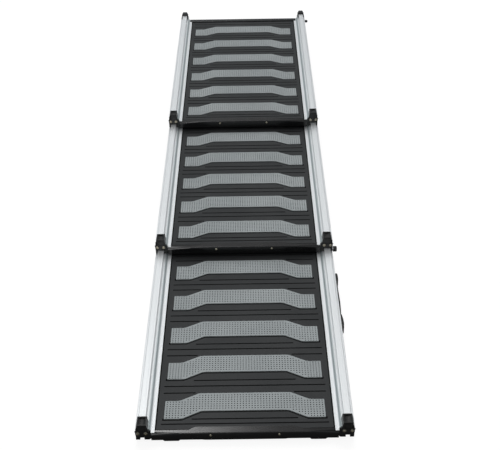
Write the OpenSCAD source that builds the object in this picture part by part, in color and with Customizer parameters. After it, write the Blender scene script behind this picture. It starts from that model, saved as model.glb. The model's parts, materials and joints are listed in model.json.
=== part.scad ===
// Three-section telescoping pet ramp, drawn fully extended, low end at the front.
// X runs across the ramp, Y up along it, Z up. Z = 0 is the underside of the feet.
// Each rail carries a T-shaped bead that the section above it slides on.

/* [Ramp] */
// Width over the outer faces of the two side rails
rail_span = 427; // [380:1:520]
// Length of one section, from its toe bar to the ends of its rails
section_length = 699; // [560:1:900]
// Distance between the low ends of two neighbouring sections when extended
section_step = 539.5; // [300:0.5:540]
// Rise from one section to the next
section_rise = 27; // [27:0.5:30]
// Height of the rubber feet below the lower rails
foot_drop = 5; // [3:0.5:8]

/* [Rails] */
// Width of the rail that shows beside the deck, bead and flange together
rail_w = 37.5; // [34:0.5:44]
// Height of the rail shoulder above the rail's underside
shoulder_v = 26.6; // [26:0.1:26.6]
// Wall thickness of the rail
rail_wall = 1.8; // [1.4:0.1:2]
// Width of the bead's head
head_w = 14.8; // [13:0.1:15]
// Width of the bead's neck
neck_w = 9.6; // [8:0.1:10]

/* [Deck] */
// Height of the deck's walking surface above the rail's underside
deck_v = 19.85; // [19:0.05:19.9]
// Thickness of the deck over its ribs
deck_t = 5.9; // [4:0.1:6]
// Distance between two traction pads along the ramp
pad_pitch = 104.4; // [90:0.1:110]
// Number of traction pads on a section
pad_count = 6; // [3:1:6]
// Half the length of a traction pad
pad_half = 160; // [120:1:168]
// Depth of a traction pad along the ramp
pad_depth = 46.35; // [30:0.05:55]
// How far the two ends of a pad are set back from its middle
pad_shift = 19.4; // [0:0.1:24]

/* [Slider blocks] */
// Length of a slider block along the ramp
block_len = 22.8; // [20:0.2:24]
// Height of a slider block
block_h = 42; // [40:0.5:44]
// Diameter of the block screws' heads
screw_head_d = 7.4; // [5:0.1:8]

/* [Lock] */
// Diameter of the pull knob
knob_d = 13.6; // [12:0.1:14]
// Diameter of the lock pin
pin_d = 3.4; // [3:0.1:3.6]

/* [Handle] */
// Length of the carrying handle along the rail
handle_len = 179; // [150:1:260]
// Width of the handle's strap
strap_w = 18; // [12:0.5:18]

/* [Hidden] */
$fn = 48;

// Clearances: gap leaves room between sliding parts, fit between parts of one body
gap = 0.4;
fit = 0.15;
eps = 0.01;

// Rail section, measured as u inward from its outer face and v up from its underside
head_t = 4.4;
bead_h = 9;
bead_u = 12.6;
bead_top = shoulder_v + bead_h;
head_low = bead_top - head_t;
head_round = 1.2;
channel_v = 16;
channel_u = 23.4;
lip_reach = 2;
lip_t = 1.6;
inner_u = channel_u + rail_wall;
ledge_u = 26.1;
flange_top = 21.6;
flange_t = 1.6;
flange_low_v = 12.2;
cove_r = 6.2;
port_v = 18.6;
port_r = 2.5;
port_bore_r = 1.55;
port_u = [4.9, 20.3];

// Where a section's pieces begin and end along Y
block_y = 1.4;
plate_t = 4;
block_end = block_y + block_len;
rail_start = block_y + plate_t + 0.2;
skirt_start = block_end + 0.2;
rail_end = section_length - 3;
flange_end = section_length - 20;
tongue_start = 0.3;
tongue_u = 30.2;
deck_start = 3.4;
deck_end = section_length - 25.5;
cap_len = 17;
cap_top = bead_top + 6;
pad_first = 54.1;
pad_recess = 1.5;
pad_proud = 0.8;
// How far a section's low end stands from its neighbour's when it is pushed in
park_y = block_len + 2.5;

// Toe bar, seen from the front and from above
bar_half = rail_span / 2 - 30.3;
bar_end_half = 111;
bar_mid_half = 97;
bar_solid_half = 127;
lip_depth_end = 7.9;
lip_depth_mid = 14.4;
bar_low_mid = 0.9;
bar_low_end = 2.7;
bar_low_knee = [76, 84];
toe_screw_x = 67;
toe_screw_v = 15.6;

// Head bar
head_bar_y = section_length - 37.5;
head_bar_top = 23.2;
head_screw_x = 120;

// Lock: the pin's axis on the right block of the middle section
lock_y = 7.2;
lock_v = 2.2;
neck_u = bead_u - neck_w / 2;
bush_r = 4.8;
bush_len = 6.5;
collar_r = 2.9;
lock_seat = 0.3;
pin_end = 10.2;

// Handle on the lower section's right rail
handle_y = 285;
handle_v = 11.8;
leaf_len = 40;
leaf_out = 6.2;
leaf_skew = 6;
leaf_r = 115;
handle_seat = 3.8;
handle_screw_y = [
    handle_y + 14, handle_y + 26,
    handle_y + handle_len - 26, handle_y + handle_len - 14
];

// Tether peg on the upper section's right rail
peg_d = 8.5;
peg_len = 10.5;
peg_y = 671.5;
peg_v = 14;

foot_x = 144;
foot_top_w = 40;
foot_low_w = 28;

function lift(k) = [0, k * section_step, foot_drop + k * section_rise];

// ---------- helpers ----------

// Moves a piece from its own section's frame into the ramp's frame
module place(k) {
    y_mid = (2 * section_step + section_length) / 2;
    translate([0, -y_mid, 0]) translate(lift(k)) children();
}

// Runs a (u, v) profile along Y between two stations
module along_y(y0, y1) {
    translate([0, y1, 0]) rotate([90, 0, 0]) linear_extrude(y1 - y0) children();
}

// Runs a (y, v) profile along X between two stations
module along_x(x0, x1) {
    translate([x0, 0, 0]) rotate([90, 0, 90]) linear_extrude(x1 - x0) children();
}

// Puts a piece drawn in (u, y, v) on the left rail, or mirrored on the right one
module left_side() {
    translate([-rail_span / 2, 0, 0]) children();
}
module right_side() {
    mirror([1, 0, 0]) left_side() children();
}

// Rectangle given by its two corners
module box2(u0, u1, v0, v1) {
    translate([u0, v0]) square([u1 - u0, v1 - v0]);
}

// Rectangle whose two upper corners are rounded
module round_top(u0, u1, v0, v1, r) {
    box2(u0, u1, v0, v1 - r);
    box2(u0 + r, u1 - r, v0, v1);
    translate([u0 + r, v1 - r]) circle(r);
    translate([u1 - r, v1 - r]) circle(r);
}

// Bracket outline shared by the pads and their recesses: middle ahead of both ends
module bracket2(half, depth, shift, top_knee, low_knee, grow) {
    polygon([
        [-half - grow, -shift - grow], [-low_knee[1], -shift - grow], [-low_knee[0], -grow],
        [low_knee[0], -grow], [low_knee[1], -shift - grow], [half + grow, -shift - grow],
        [half + grow, depth - shift + grow], [top_knee[1], depth - shift + grow],
        [top_knee[0], depth + grow], [-top_knee[0], depth + grow],
        [-top_knee[1], depth - shift + grow], [-half - grow, depth - shift + grow]
    ]);
}

// Pan-head screw along +Y, its head's seat at the origin, with a cross recess
module screw(head_d, head_t, shank_r, len) {
    slot_w = head_d * 0.16;
    slot_l = head_d * 0.56;
    difference() {
        rotate([90, 0, 0]) union() {
            cylinder(d = head_d, h = head_t * 0.55);
            translate([0, 0, head_t * 0.55 - eps])
                cylinder(d1 = head_d, d2 = head_d * 0.62, h = head_t * 0.45);
        }
        for (a = [0, 90])
            translate([0, -head_t, 0]) rotate([0, a, 0])
                cube([slot_l, head_t * 0.9, slot_w], center = true);
    }
    translate([0, -eps, 0]) rotate([-90, 0, 0]) cylinder(r = shank_r, h = len);
}

// ---------- rails ----------

// Neck and head of the bead, grown by g all round for the pieces that fit over it
module bead2(g) {
    box2(bead_u - neck_w / 2 - g, bead_u + neck_w / 2 + g, shoulder_v - 0.6, head_low);
    round_top(bead_u - head_w / 2 - g, bead_u + head_w / 2 + g, head_low - g, bead_top + g, head_round);
}

// Cove that falls from the shoulder to the flange
module cove2() {
    difference() {
        box2(channel_u, ledge_u + cove_r, deck_v + fit, shoulder_v);
        translate([ledge_u + cove_r, flange_top + cove_r]) circle(cove_r);
    }
}

// Full outline of the extrusion with its hollow box, bead and deck channel
module rail2() {
    difference() {
        union() {
            round_top(0, inner_u - 0.6, channel_v, shoulder_v, 0.8);
            box2(inner_u - 2, inner_u, flange_low_v, shoulder_v - 4);
            bead2(0);
            cove2();
            for (u = port_u) translate([u, port_v]) circle(port_r);
            box2(inner_u - eps, rail_w, deck_v + fit, flange_top);
            box2(inner_u - eps, rail_w, flange_low_v, flange_low_v + flange_t);
            skirts2();
        }
        difference() {
            union() {
                box2(rail_wall, channel_u, channel_v + rail_wall, shoulder_v - 1.6);
                box2(bead_u - neck_w / 2 + 1.6, bead_u + neck_w / 2 - 1.6, channel_v + 4, bead_top - 1.6);
            }
            for (u = port_u) translate([u, port_v]) circle(port_r);
        }
        for (u = port_u) translate([u, port_v]) circle(port_bore_r);
    }
}

// Walls of the channel below the box, with their in-turned lips
module skirts2() {
    box2(0, rail_wall, 0, channel_v + 1);
    box2(0, rail_wall + lip_reach, 0, lip_t);
    box2(channel_u, inner_u, 0, channel_v + 1);
    box2(channel_u - lip_reach, inner_u, 0, lip_t);
}

// One rail with its lower part coped away for the slider block
module rail(lock_holes) {
    low_plate_start = 8.4;
    color("#c9ced1") difference() {
        union() {
            along_y(rail_start, rail_end) rail2();
            along_y(tongue_start, rail_start + eps) box2(tongue_u, rail_w, deck_v + fit, flange_top);
        }
        translate([-1, rail_start - 1, -1])
            cube([inner_u + 2, skirt_start - rail_start + 1, flange_low_v + 0.8]);
        translate([inner_u + eps, rail_start - 1, flange_low_v - 1])
            cube([rail_w, low_plate_start - rail_start + 1, deck_v + fit - flange_low_v + 1]);
        translate([inner_u + eps, flange_end, flange_low_v - 1]) cube([rail_w, 30, 30]);
        if (lock_holes)
            for (y = [section_step, park_y])
                translate([neck_u - 1, y + lock_y, section_rise + lock_v])
                    rotate([0, 90, 0]) cylinder(d = pin_d + 0.4, h = 2.8);
    }
}

// ---------- deck ----------

// Depth profile under the toe bar's lip, as seen from above
module lip_plan2(grow) {
    polygon([
        [-bar_half, 0], [bar_half, 0], [bar_half, lip_depth_end + grow],
        [bar_end_half, lip_depth_end + grow], [bar_mid_half, lip_depth_mid + grow],
        [-bar_mid_half, lip_depth_mid + grow], [-bar_end_half, lip_depth_end + grow],
        [-bar_half, lip_depth_end + grow]
    ]);
}

module deck_grooves(depth) {
    groove_w = 2;
    full = 165;
    mid = 105;
    for (k = [0 : pad_count]) {
        y = pad_first + k * pad_pitch;
        full_y = k == 0 ? 23.5 : y - 38.5;
        mid_y = k == 0 ? 35 : y - 23;
        translate([-full, full_y - groove_w / 2, deck_v - depth]) cube([2 * full, groove_w, 2]);
        if (k < pad_count)
            translate([-mid, mid_y - groove_w / 2, deck_v - depth]) cube([2 * mid, groove_w, 2]);
        if (k > 0)
            for (side = [-1, 1])
                translate([side * (full + 100) / 2, y - 56.5, deck_v - depth / 2 + 1])
                    cube([full - 100, groove_w, depth + 2], center = true);
    }
}

// Seat of a pad, with a deeper channel along the pad's low edge that runs past both its ends
module pad_seat() {
    low_knee = [86.4, 124.7];
    translate([0, 0, deck_v - pad_recess]) linear_extrude(4)
        bracket2(pad_half, pad_depth, pad_shift, [92.5, 131.5], low_knee, 0.5);
    translate([0, -3.1, deck_v - pad_recess]) linear_extrude(4)
        bracket2(pad_half + 3, 5, pad_shift, low_knee, low_knee, 0);
}

// Ribs are what stays between the pockets in the underside
module deck_pockets() {
    cols = 6;
    rows = 12;
    rib = 3;
    skin = 3;
    x_half = 168;
    y0 = 24;
    y1 = deck_end - 20;
    w = 2 * x_half / cols;
    d = (y1 - y0) / rows;
    for (i = [0 : cols - 1])
        for (j = [0 : rows - 1])
            translate([-x_half + i * w + rib / 2, y0 + j * d + rib / 2, deck_v - deck_t - 1])
                cube([w - rib, d - rib, deck_t - skin + 1]);
}

module deck() {
    half = rail_span / 2 - inner_u - 0.7;
    edge_x = rail_span / 2 - rail_w - 1.2;
    color("#3d4042") difference() {
        translate([-half, deck_start, deck_v - deck_t]) cube([2 * half, deck_end - deck_start, deck_t]);
        for (side = [-1, 1])
            translate([side * (half + bar_solid_half) / 2, 4.3, deck_v - 3])
                cube([half - bar_solid_half + 2 * fit, 8.6, 12], center = true);
        translate([0, 0, 18.05]) linear_extrude(5) lip_plan2(0.3);
        for (k = [0 : pad_count - 1]) translate([0, pad_first + k * pad_pitch, 0]) pad_seat();
        for (x = [-edge_x, edge_x]) translate([x, deck_end / 2, deck_v])
            cube([2.8, deck_end + 10, 2.4], center = true);
        deck_grooves(1);
        deck_pockets();
        for (x = [-toe_screw_x, toe_screw_x]) translate([x, 0, toe_screw_v])
            rotate([-90, 0, 0]) cylinder(r = 1.3, h = 16);
        for (x = [-head_screw_x, head_screw_x]) translate([x, deck_end + 1, toe_screw_v])
            rotate([90, 0, 0]) cylinder(r = 1.3, h = 13);
    }
}

module traction_pads() {
    color("#93999b") for (k = [0 : pad_count - 1])
        translate([0, pad_first + k * pad_pitch, deck_v - pad_recess]) linear_extrude(pad_recess + pad_proud)
            bracket2(pad_half, pad_depth, pad_shift, [92.5, 131.5], [86.4, 124.7], 0);
}

// ---------- end bars ----------

// Front outline of the toe bar: its middle reaches lower than its ends
module toe_front2() {
    polygon([
        [-bar_half, bar_low_end], [-bar_low_knee[1], bar_low_end], [-bar_low_knee[0], bar_low_mid],
        [bar_low_knee[0], bar_low_mid], [bar_low_knee[1], bar_low_end], [bar_half, bar_low_end],
        [bar_half, 22], [-bar_half, 22]
    ]);
}

// Section of the toe bar: rounded nose and sloping lip
module toe_section2() {
    nose_r = 2.4;
    polygon([
        [nose_r, 0], [lip_depth_mid, 0], [lip_depth_mid, 20.3], [nose_r, 18.5],
        [0, 18.5 - nose_r], [0, nose_r]
    ]);
    translate([nose_r, 18.5 - nose_r]) circle(nose_r);
    translate([nose_r, nose_r]) circle(nose_r);
}

// Chamfer that runs down along the front of the bar towards its end
module toe_chamfer() {
    fall = 7.5;
    translate([bar_half, 0, 0]) rotate([0, fall, 0]) along_x(-64, 3) polygon([
        [-2, 8], [0, 9.2], [1, 10.6], [2.4, 11.5], [4.6, 19.1], [4.6, 30], [-2, 30]
    ]);
}

// The bar is open behind for the deck's edge, and solid at both ends
module toe_bar() {
    wall = 3;
    color("#1b1c1e") {
        difference() {
            intersection() {
                along_x(-bar_half, bar_half) toe_section2();
                along_y(-1, lip_depth_mid + 1) toe_front2();
                linear_extrude(24) lip_plan2(0);
            }
            along_x(-bar_solid_half, bar_solid_half)
                box2(wall, lip_depth_mid + 1, bar_low_end + 3, 18.2);
            toe_chamfer();
            mirror([1, 0, 0]) toe_chamfer();
            for (x = [-toe_screw_x, toe_screw_x]) translate([x, -1, toe_screw_v])
                rotate([-90, 0, 0]) cylinder(r = 1.7, h = 6);
        }
        for (x = [-108 : 36 : 108]) toe_rib(x);
    }
}

// Stiffening rib inside the toe bar, below the deck's edge
module toe_rib(x) {
    rib_t = 2.4;
    along_x(x - rib_t / 2, x + rib_t / 2)
        polygon([
            [2.8, bar_low_end + 2.8], [lip_depth_end - 1, bar_low_end + 2.8],
            [2.8, deck_v - deck_t - 0.3]
        ]);
}

module toe_bar_screws() {
    color("#c8c3ae") for (x = [-toe_screw_x, toe_screw_x])
        translate([x, 0, toe_screw_v]) screw(5.4, 1.8, 1.25, 14);
}

// Section of the head bar: lip over the deck's edge and a deep rear wall
module head_section2() {
    difference() {
        union() {
            round_top(0, 17, 18, head_bar_top, 1.6);
            box2(12.4, 17, 0.9, 20);
            box2(4, 17, 0.9, 3.4);
        }
        box2(-1, 12.2, 12, deck_v + 0.1);
    }
}

module head_bar() {
    half = rail_span / 2 - rail_w - 0.3;
    ear_half = rail_span / 2 - 31.2;
    color("#1f2022") difference() {
        union() {
            translate([0, head_bar_y, 0]) along_x(-half, half) head_section2();
            intersection() {
                translate([0, head_bar_y, 0]) along_x(-ear_half, ear_half)
                    round_top(0, 17, 18, head_bar_top, 1.6);
                translate([-ear_half, 0, flange_top + fit]) cube([2 * ear_half, section_length, 5]);
            }
            for (x = [-150 : 50 : 150]) head_rib(x);
        }
        for (x = [-head_screw_x, head_screw_x]) translate([x, head_bar_y + 18, toe_screw_v])
            rotate([90, 0, 0]) cylinder(r = 1.7, h = 6.4);
    }
}

// Stiffening rib between the head bar's rear wall and its foot
module head_rib(x) {
    rib_t = 2.4;
    translate([0, head_bar_y, 0]) along_x(x - rib_t / 2, x + rib_t / 2)
        polygon([[4.6, 3.2], [12.8, 3.2], [12.8, 11.6]]);
}

module head_bar_screws() {
    color("#c8c3ae") for (x = [-head_screw_x, head_screw_x])
        translate([x, head_bar_y + 17, toe_screw_v]) rotate([0, 0, 180]) screw(5.4, 1.8, 1.25, 14);
}

// ---------- slider blocks ----------

// Front outline of a block without its notch
module block_front2() {
    polygon([
        [1.5, 0], [1.5, 12.5], [-0.3, 15], [-0.3, 21.5], [1, 25], [1.8, 31], [3.6, 39],
        [4.3, block_h], [22.6, block_h], [23.2, block_h - 0.6], [23.8, 35],
        [25.4, 27], [29.6, 18.6], [29.9, 17], [29.9, 2.6], [26.8, 0]
    ]);
}

// Notch that runs on the bead of the rail below
module notch2() {
    lip_gap = neck_w + 0.8;
    lip_v = 3.6;
    box2(bead_u - lip_gap / 2, bead_u + lip_gap / 2, -1, lip_v + 1);
    box2(bead_u - head_w / 2 - gap, bead_u + head_w / 2 + gap, lip_v, bead_h + 0.2);
}

// Lug of the upper jaw that reaches over the ledge into the cove
module cove_lug2() {
    intersection() {
        box2(24.4, ledge_u + 2.6, 23.4, 28.4);
        union() {
            box2(24, rail_w, shoulder_v + fit, 29);
            translate([ledge_u + cove_r, flange_top + cove_r]) circle(cove_r - fit);
        }
    }
}

// Small round boss on the outer side of the front plate
module side_boss(v, u) {
    translate([u - 1.4, block_y + plate_t / 2, v]) rotate([0, 90, 0]) cylinder(r = 1.7, h = 3);
}

// Round seat that brings the bush clear of the rail below
module lock_boss() {
    intersection() {
        translate([-lock_seat, lock_y, lock_v]) rotate([0, 90, 0]) cylinder(r = bush_r, h = lock_seat + 2.5);
        translate([-2, block_y, 0]) cube([8, block_len, block_h]);
    }
}

module slider_block(runs_on_bead, carries_lock) {
    color("#17181a") difference() {
        union() {
            along_y(block_y, block_y + plate_t) block_front2();
            along_y(block_y + plate_t - eps, block_end) intersection() {
                block_front2();
                union() {
                    box2(-2, inner_u + 0.8, -1, flange_low_v - 0.6);
                    box2(-2, ledge_u + 0.2, shoulder_v + fit, block_h + 1);
                }
            }
            along_y(block_y + plate_t - eps, block_end) cove_lug2();
            side_boss(21.5, -0.3);
            if (runs_on_bead)
                side_boss(31.5, 1.9);
            if (carries_lock)
                lock_boss();
        }
        along_y(block_y + plate_t, block_end + 1) bead2(fit);
        if (runs_on_bead)
            along_y(block_y - 1, block_end + 1) notch2();
        else
            along_y(block_y - 1, block_end + 1) box2(bead_u - 4.2, bead_u + 4.2, -1, 6);
        // hollow in the top face, then the sunk panel, slot and two dimples of the front face
        translate([13.4, block_y + 2.4, block_h + 7.6]) rotate([-90, 0, 0])
            cylinder(r = 10.6, h = block_len - 4.8, $fn = 96);
        translate([6.6, block_y - 1, 23]) cube([13.4, 1.7, 16]);
        translate([6.6, block_y - 1, 36.2]) cube([13.4, 2.6, 2.8]);
        for (u = [4.6, 19]) translate([u, block_y - 1, 28.6])
            rotate([-90, 0, 0]) cylinder(r = 1.9, h = 2.6);
        for (u = port_u) translate([u, block_y - 1, port_v])
            rotate([-90, 0, 0]) cylinder(r = 1.8, h = plate_t + 2);
        if (carries_lock)
            lock_groove();
    }
}

// Groove through the outer leg that guides the lock pin
module lock_groove() {
    r = pin_d / 2 + 0.2;
    translate([-2, lock_y, lock_v]) rotate([0, 90, 0]) cylinder(r = r, h = neck_u + 3);
    translate([-2, lock_y - r, -1]) cube([neck_u + 3, 2 * r, lock_v + 1]);
}

module block_screws() {
    color("#c8c3ae") {
        left_side() for (u = port_u) translate([u, block_y, port_v]) screw(screw_head_d, 2, 1.5, 18);
        right_side() for (u = port_u) translate([u, block_y, port_v]) screw(screw_head_d, 2, 1.5, 18);
    }
}

// ---------- rail caps and travel stops ----------

// Saddle over the end of the bead, hooked behind the lips of the rail above
module rail_cap() {
    half = 10.5;
    leg_low = shoulder_v + gap + lip_t + gap;
    end_t = 2.8;
    leg_t = 2.3;
    leg_len = 12;
    color("#1d1e20") {
        difference() {
            along_y(section_length - cap_len, section_length) polygon([
                [bead_u - half, leg_low], [bead_u - half, bead_top - 1.6], [bead_u - 8.4, bead_top + 1.6],
                [bead_u - 7, cap_top - 1], [bead_u - 6, cap_top], [bead_u + 6, cap_top],
                [bead_u + 7, cap_top - 1], [bead_u + 8.4, bead_top + 1.6],
                [bead_u + half, bead_top - 1.6], [bead_u + half, leg_low]
            ]);
            along_y(section_length - cap_len - 1, rail_end + 0.2) {
                bead2(fit);
                box2(bead_u - neck_w / 2 - fit, bead_u + neck_w / 2 + fit, 0, head_low);
            }
        }
        along_y(section_length - cap_len - leg_len, section_length - cap_len + eps) {
            box2(bead_u - half, bead_u - half + leg_t, leg_low, bead_top - 2);
            box2(bead_u + half - leg_t, bead_u + half, leg_low, bead_top - 2);
        }
        along_y(section_length - end_t, section_length) {
            box2(1, inner_u - 1, channel_v + gap, shoulder_v - 0.1);
            box2(rail_wall + lip_reach + gap, channel_u - lip_reach - gap, channel_v + gap, bead_top - 2);
        }
    }
}

// Stop in the roof of the channel, met by the cap of the section below
module travel_stops() {
    len = 8;
    y0 = section_length - cap_len - section_step - 0.3 - len;
    size = [8.8, len, channel_v - bead_h - gap];
    color("#1d1e20") {
        left_side() translate([bead_u - 4.4, y0, bead_h + gap]) cube(size);
        right_side() translate([bead_u - 4.4, y0, bead_h + gap]) cube(size);
    }
}

// ---------- feet ----------

module foot(x, y, v_top, v_low, depth) {
    translate([x, y, 0]) along_y(0, depth) polygon([
        [-foot_top_w / 2, v_top], [-foot_top_w / 2, v_top - 1], [-foot_low_w / 2, v_low],
        [foot_low_w / 2, v_low], [foot_top_w / 2, v_top - 1], [foot_top_w / 2, v_top]
    ]);
}

module feet() {
    color("#141415") for (x = [-foot_x, foot_x]) foot(x, 0.6, bar_low_end, -foot_drop, 6.6);
}

module rest_pads() {
    color("#141415") for (x = [-foot_x, foot_x]) foot(x, head_bar_y + 4.6, 0.9, -3, 12);
}

// ---------- lock ----------

// Places a piece drawn along +X on the lock's axis; its inner end points into the ramp
module on_lock_axis() {
    place(1) right_side() translate([0, lock_y, lock_v]) rotate([0, -90, 0]) children();
}

// Drawn with its axis along Z: 0 is the rail's outer face and Z grows outward
module lock_bush() {
    color("#8d9092") translate([0, 0, lock_seat]) difference() {
        cylinder(r = bush_r, h = bush_len);
        translate([0, 0, -1]) cylinder(r = collar_r + 0.3, h = bush_len);
        cylinder(r = pin_d / 2 + 0.2, h = bush_len + 1);
    }
}

module lock_pin() {
    tip = -neck_u + 0.3;
    color("#b9bcbe") {
        translate([0, 0, tip + 0.6]) cylinder(d = pin_d, h = pin_end - tip - 0.6);
        translate([0, 0, tip]) cylinder(d1 = pin_d - 1.2, d2 = pin_d, h = 0.6 + eps);
        translate([0, 0, lock_seat + 1.9]) cylinder(r = collar_r, h = 0.8);
    }
}

// Helix of round wire between the pin's collar and the bush's outer wall
module lock_spring() {
    wire_r = 0.22;
    mean_r = 2.55;
    turns = 3;
    len = 2.6;
    steps = 24 * turns;
    sides = 8;
    rise = (len - 2 * wire_r) / steps;
    points = [
        for (i = [0 : steps]) for (j = [0 : sides - 1])
            let (r = mean_r + wire_r * cos(360 * j / sides))
                [r * cos(15 * i), r * sin(15 * i), wire_r + rise * i + wire_r * sin(360 * j / sides)]
    ];
    walls = [
        for (i = [0 : steps - 1]) for (j = [0 : sides - 1])
            let (a = i * sides + j, b = i * sides + (j + 1) % sides)
                each [[a, a + sides, b + sides], [a, b + sides, b]]
    ];
    first_end = [for (j = [0 : sides - 1]) j];
    last_end = [for (j = [0 : sides - 1]) (steps + 1) * sides - 1 - j];
    color("#9a9da0") translate([0, 0, lock_seat + 2.8])
        polyhedron(points, concat([first_end], walls, [last_end]));
}

module lock_knob() {
    rim = 2.2;
    cup = 8.9;
    top = 10.8;
    flutes = 10;
    color("#151617") difference() {
        union() {
            translate([0, 0, rim]) cylinder(d = knob_d, h = top - rim - 1.2);
            translate([0, 0, top - 1.2 - eps]) cylinder(d1 = knob_d, d2 = knob_d - 2.4, h = 1.2 + eps);
        }
        translate([0, 0, rim - 1]) cylinder(r = bush_r + 0.4, h = cup - rim + 1);
        cylinder(d = pin_d + 0.1, h = pin_end + 0.05);
        for (i = [0 : flutes - 1]) rotate([0, 0, i * 360 / flutes])
            translate([knob_d / 2 + 1.5, 0, rim + 1.4]) cylinder(r = 2, h = top);
    }
}

// ---------- handle and peg ----------

// Cover seen from above, thickest near its outer end: X is outward from the rail
module leaf2() {
    intersection() {
        translate([leaf_out - leaf_r, -leaf_skew]) circle(leaf_r, $fn = 360);
        translate([0.1, -leaf_len / 2]) square([leaf_out, leaf_len]);
    }
}

// Cover at the handle's low end, drawn about the middle of the handle
module end_cover() {
    h = strap_w + 2;
    translate([0, leaf_len / 2 - handle_len / 2, -h / 2]) linear_extrude(h) leaf2();
}

// Places a piece drawn outward from the right rail's outer face
module on_right_face(k) {
    place(k) translate([rail_span / 2, 0, 0]) children();
}

module handle_end_caps() {
    color("#1a1b1d") on_right_face(0) difference() {
        translate([0, handle_y + handle_len / 2, handle_v]) {
            end_cover();
            mirror([0, 1, 0]) end_cover();
        }
        strap_solid(0.1);
        for (y = handle_screw_y) translate([0, y, handle_v]) rotate([0, 90, 0]) {
            cylinder(r = 1.7, h = 20);
            translate([0, 0, handle_seat - 0.05]) cylinder(r = 3, h = 10);
        }
    }
}

// Strap bent to a shallow arc between the two covers
module strap_solid(grow) {
    mid = handle_y + handle_len / 2;
    chord = handle_len - 62;
    t = 2 + 2 * grow;
    seat = 0.5;
    rise = 1.6;
    r = (chord * chord / 4 + rise * rise) / (2 * rise);
    translate([rise + seat - r - grow, mid, handle_v - strap_w / 2 - grow])
        intersection() {
            difference() {
                cylinder(r = r + t, h = strap_w + 2 * grow, $fn = 360);
                translate([0, 0, -1]) cylinder(r = r, h = strap_w + 2, $fn = 360);
            }
            translate([0, -chord / 2 - grow, 0]) cube([r + 10, chord + 2 * grow, strap_w + 2 * grow]);
        }
}

module handle_strap() {
    color("#26282a") on_right_face(0) strap_solid(0);
}

module handle_screws() {
    color("#c8c3ae") on_right_face(0) for (y = handle_screw_y)
        translate([handle_seat, y, handle_v]) rotate([0, 0, 90]) screw(5.4, 1.8, 1.45, handle_seat - 0.2);
}

module tether_peg() {
    color("#18191a") on_right_face(2) translate([0.1, peg_y, peg_v]) rotate([0, 90, 0]) {
        cylinder(d = peg_d + 3, h = 2);
        cylinder(d = peg_d, h = peg_len - 0.8);
        translate([0, 0, peg_len - 0.8 - eps]) cylinder(d1 = peg_d, d2 = peg_d - 1.6, h = 0.8);
    }
}

// ---------- the ramp ----------

place(0) left_side() rail(false);  // lower_rail_left
place(0) right_side() rail(true);  // lower_rail_right
place(0) deck();  // lower_deck
place(0) traction_pads();  // lower_traction_pads
place(0) toe_bar();  // lower_toe_bar
place(0) head_bar();  // lower_head_bar
place(0) left_side() slider_block(false, false);  // lower_slider_block_left
place(0) right_side() slider_block(false, false);  // lower_slider_block_right
place(0) block_screws();  // lower_block_screws
place(0) toe_bar_screws();  // lower_toe_bar_screws
place(0) head_bar_screws();  // lower_head_bar_screws
place(0) left_side() rail_cap();  // lower_rail_cap_left
place(0) right_side() rail_cap();  // lower_rail_cap_right
place(0) feet();  // lower_feet
handle_end_caps();
handle_strap();
handle_screws();
place(1) left_side() rail(false);  // middle_rail_left
place(1) right_side() rail(false);  // middle_rail_right
place(1) deck();  // middle_deck
place(1) traction_pads();  // middle_traction_pads
place(1) toe_bar();  // middle_toe_bar
place(1) head_bar();  // middle_head_bar
place(1) left_side() slider_block(true, false);  // middle_slider_block_left
place(1) right_side() slider_block(true, true);  // middle_slider_block_right
place(1) block_screws();  // middle_block_screws
place(1) toe_bar_screws();  // middle_toe_bar_screws
place(1) head_bar_screws();  // middle_head_bar_screws
place(1) left_side() rail_cap();  // middle_rail_cap_left
place(1) right_side() rail_cap();  // middle_rail_cap_right
place(1) travel_stops();  // middle_travel_stops
on_lock_axis() lock_bush();
on_lock_axis() lock_spring();
on_lock_axis() lock_pin();
on_lock_axis() lock_knob();
place(2) left_side() rail(false);  // upper_rail_left
place(2) right_side() rail(false);  // upper_rail_right
place(2) deck();  // upper_deck
place(2) traction_pads();  // upper_traction_pads
place(2) toe_bar();  // upper_toe_bar
place(2) head_bar();  // upper_head_bar
place(2) left_side() slider_block(true, false);  // upper_slider_block_left
place(2) right_side() slider_block(true, false);  // upper_slider_block_right
place(2) block_screws();  // upper_block_screws
place(2) toe_bar_screws();  // upper_toe_bar_screws
place(2) head_bar_screws();  // upper_head_bar_screws
place(2) left_side() rail_cap();  // upper_rail_cap_left
place(2) right_side() rail_cap();  // upper_rail_cap_right
place(2) travel_stops();  // upper_travel_stops
place(2) rest_pads();  // upper_rest_pads
tether_peg();
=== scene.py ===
import json
import math

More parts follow.
